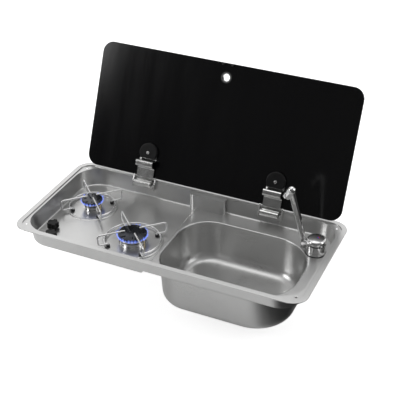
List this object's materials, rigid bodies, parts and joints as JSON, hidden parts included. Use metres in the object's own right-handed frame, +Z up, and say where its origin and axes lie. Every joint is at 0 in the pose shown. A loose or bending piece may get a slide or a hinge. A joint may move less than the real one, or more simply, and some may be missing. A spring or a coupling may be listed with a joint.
{
  "type": "two-burner hob and sink combination",
  "caption": "Drop-in steel hob and sink in one tray, with wire pan supports, a folding-spout mixer tap and a hinged dark glass lid.",
  "frame": {"origin": "centre of the rim's underside, the face that rests on the worktop", "axes": "+X along the length to the tap's end, +Y to the rear where the lid is hinged, +Z up"},
  "size_m": [0.775, 0.4897, 0.5113],
  "materials": {
    "satin_steel": "fine satin stainless sheet, rim brighter",
    "chrome": "bright chrome plate",
    "spring_steel": "bright stainless",
    "black_enamel": "satin black enamel",
    "cast_aluminium": "cast",
    "brass": "plain",
    "dark_glass": "tempered, polished, nearly black",
    "rubber": "black",
    "black_plastic": "satin",
    "zinc_steel": "zinc plated",
    "copper": "annealed pipe",
    "mark_red": "printed plastic",
    "probe": "glazed, pale"
  },
  "bodies": {
    "frame": {"bracket_rivets": "spring_steel", "gas_rail": "zinc_steel", "grommets": "rubber", "hinge_pins": "spring_steel", "large_burner_band": "black_enamel", "large_burner_cap": "black_enamel", "large_burner_crown": "cast_aluminium", "large_burner_cup": "chrome", "large_feed_pipe": "copper", "large_flame_probe": "probe", "large_gas_valve": "cast_aluminium", "large_injector": "brass", "large_mixer": "cast_aluminium", "left_hinge_bracket": "spring_steel", "right_hinge_bracket": "spring_steel", "sink_bowl": "satin_steel", "small_burner_band": "black_enamel", "small_burner_cap": "black_enamel", "small_burner_crown": "cast_aluminium", "small_burner_cup": "chrome", "small_feed_pipe": "copper", "small_flame_probe": "probe", "small_gas_valve": "cast_aluminium", "small_injector": "brass", "small_mixer": "cast_aluminium", "tap_base": "chrome", "tap_gasket": "rubber", "tap_nut": "brass", "tap_sleeve": "chrome", "tap_tails": "copper", "tap_washer": "rubber", "tray": "satin_steel", "valve_link": "brass", "waste_flange": "chrome", "waste_gasket": "rubber", "waste_nut": "black_plastic", "waste_tail": "black_plastic"},
    "lid": {"lid_glass": "dark_glass", "finger_ring": "chrome", "lid_buffers": "rubber", "left_hinge_strap": "spring_steel", "right_hinge_strap": "spring_steel", "left_hinge_pad": "black_plastic", "right_hinge_pad": "black_plastic", "pad_screws": "chrome"},
    "small_support": {"small_pan_support": "spring_steel"},
    "large_support": {"large_pan_support": "spring_steel"},
    "small_push": {"small_spindle": "brass"},
    "small_turn": {"small_knob": "black_plastic"},
    "large_push": {"large_spindle": "brass"},
    "large_turn": {"large_knob": "black_plastic"},
    "spout_base": {"spout_collar": "chrome", "spout_pin": "chrome"},
    "spout": {"spout_arm": "chrome", "spout_nozzle": "chrome", "spout_aerator": "black_plastic"},
    "lever_base": {"tap_stem": "brass"},
    "lever": {"tap_lever": "chrome", "tap_mark": "mark_red"}
  },
  "joints": [
    {"name": "lid_hinge", "type": "hinge", "parent": "frame", "child": "lid", "pos_m": [0, 0.16675, 0.007], "axis": [-1, 0, 0], "range_deg": [-112.9, 0]},
    {"name": "small_support_lift", "type": "slide", "parent": "frame", "child": "small_support", "axis": [0, 0, 1], "range_m": [0, 0.016]},
    {"name": "large_support_lift", "type": "slide", "parent": "frame", "child": "large_support", "axis": [0, 0, 1], "range_m": [0, 0.016]},
    {"name": "small_knob_push", "type": "slide", "parent": "frame", "child": "small_push", "axis": [0, 0, -1], "range_m": [0, 0.003], "stiffness_N_per_m": 1500, "springref_m": -0.0006},
    {"name": "small_knob_turn", "type": "hinge", "parent": "small_push", "child": "small_turn", "pos_m": [-0.33, -0.08, -0.038], "axis": [0, 0, 1], "range_deg": [-90, 90]},
    {"name": "large_knob_push", "type": "slide", "parent": "frame", "child": "large_push", "axis": [0, 0, -1], "range_m": [0, 0.003], "stiffness_N_per_m": 1500, "springref_m": -0.0006},
    {"name": "large_knob_turn", "type": "hinge", "parent": "large_push", "child": "large_turn", "pos_m": [-0.3105, -0.122, -0.038], "axis": [0, 0, 1], "range_deg": [-90, 90]},
    {"name": "spout_swivel", "type": "hinge", "parent": "frame", "child": "spout_base", "pos_m": [0.3276, 0.089, -0.025], "axis": [0, 0, 1], "range_deg": [-14, 0]},
    {"name": "spout_fold", "type": "hinge", "parent": "spout_base", "child": "spout", "pos_m": [0.29658, 0.08353, -0.012], "axis": [-0.1736, 0.9848, 0], "range_deg": [-75.2, 0]},
    {"name": "lever_turn", "type": "hinge", "parent": "frame", "child": "lever_base", "pos_m": [0.3276, 0.089, -0.02], "axis": [0, 0, 1], "range_deg": [0, 60]},
    {"name": "lever_lift", "type": "hinge", "parent": "lever_base", "child": "lever", "pos_m": [0.3276, 0.089, -0.0055], "axis": [-0.7826, 0.6225, 0], "range_deg": [0, 8]}
  ],
  "couplings": [
    {"joint": "spout_fold", "follows": "lid_hinge", "ratio": 0.66608}
  ]
}
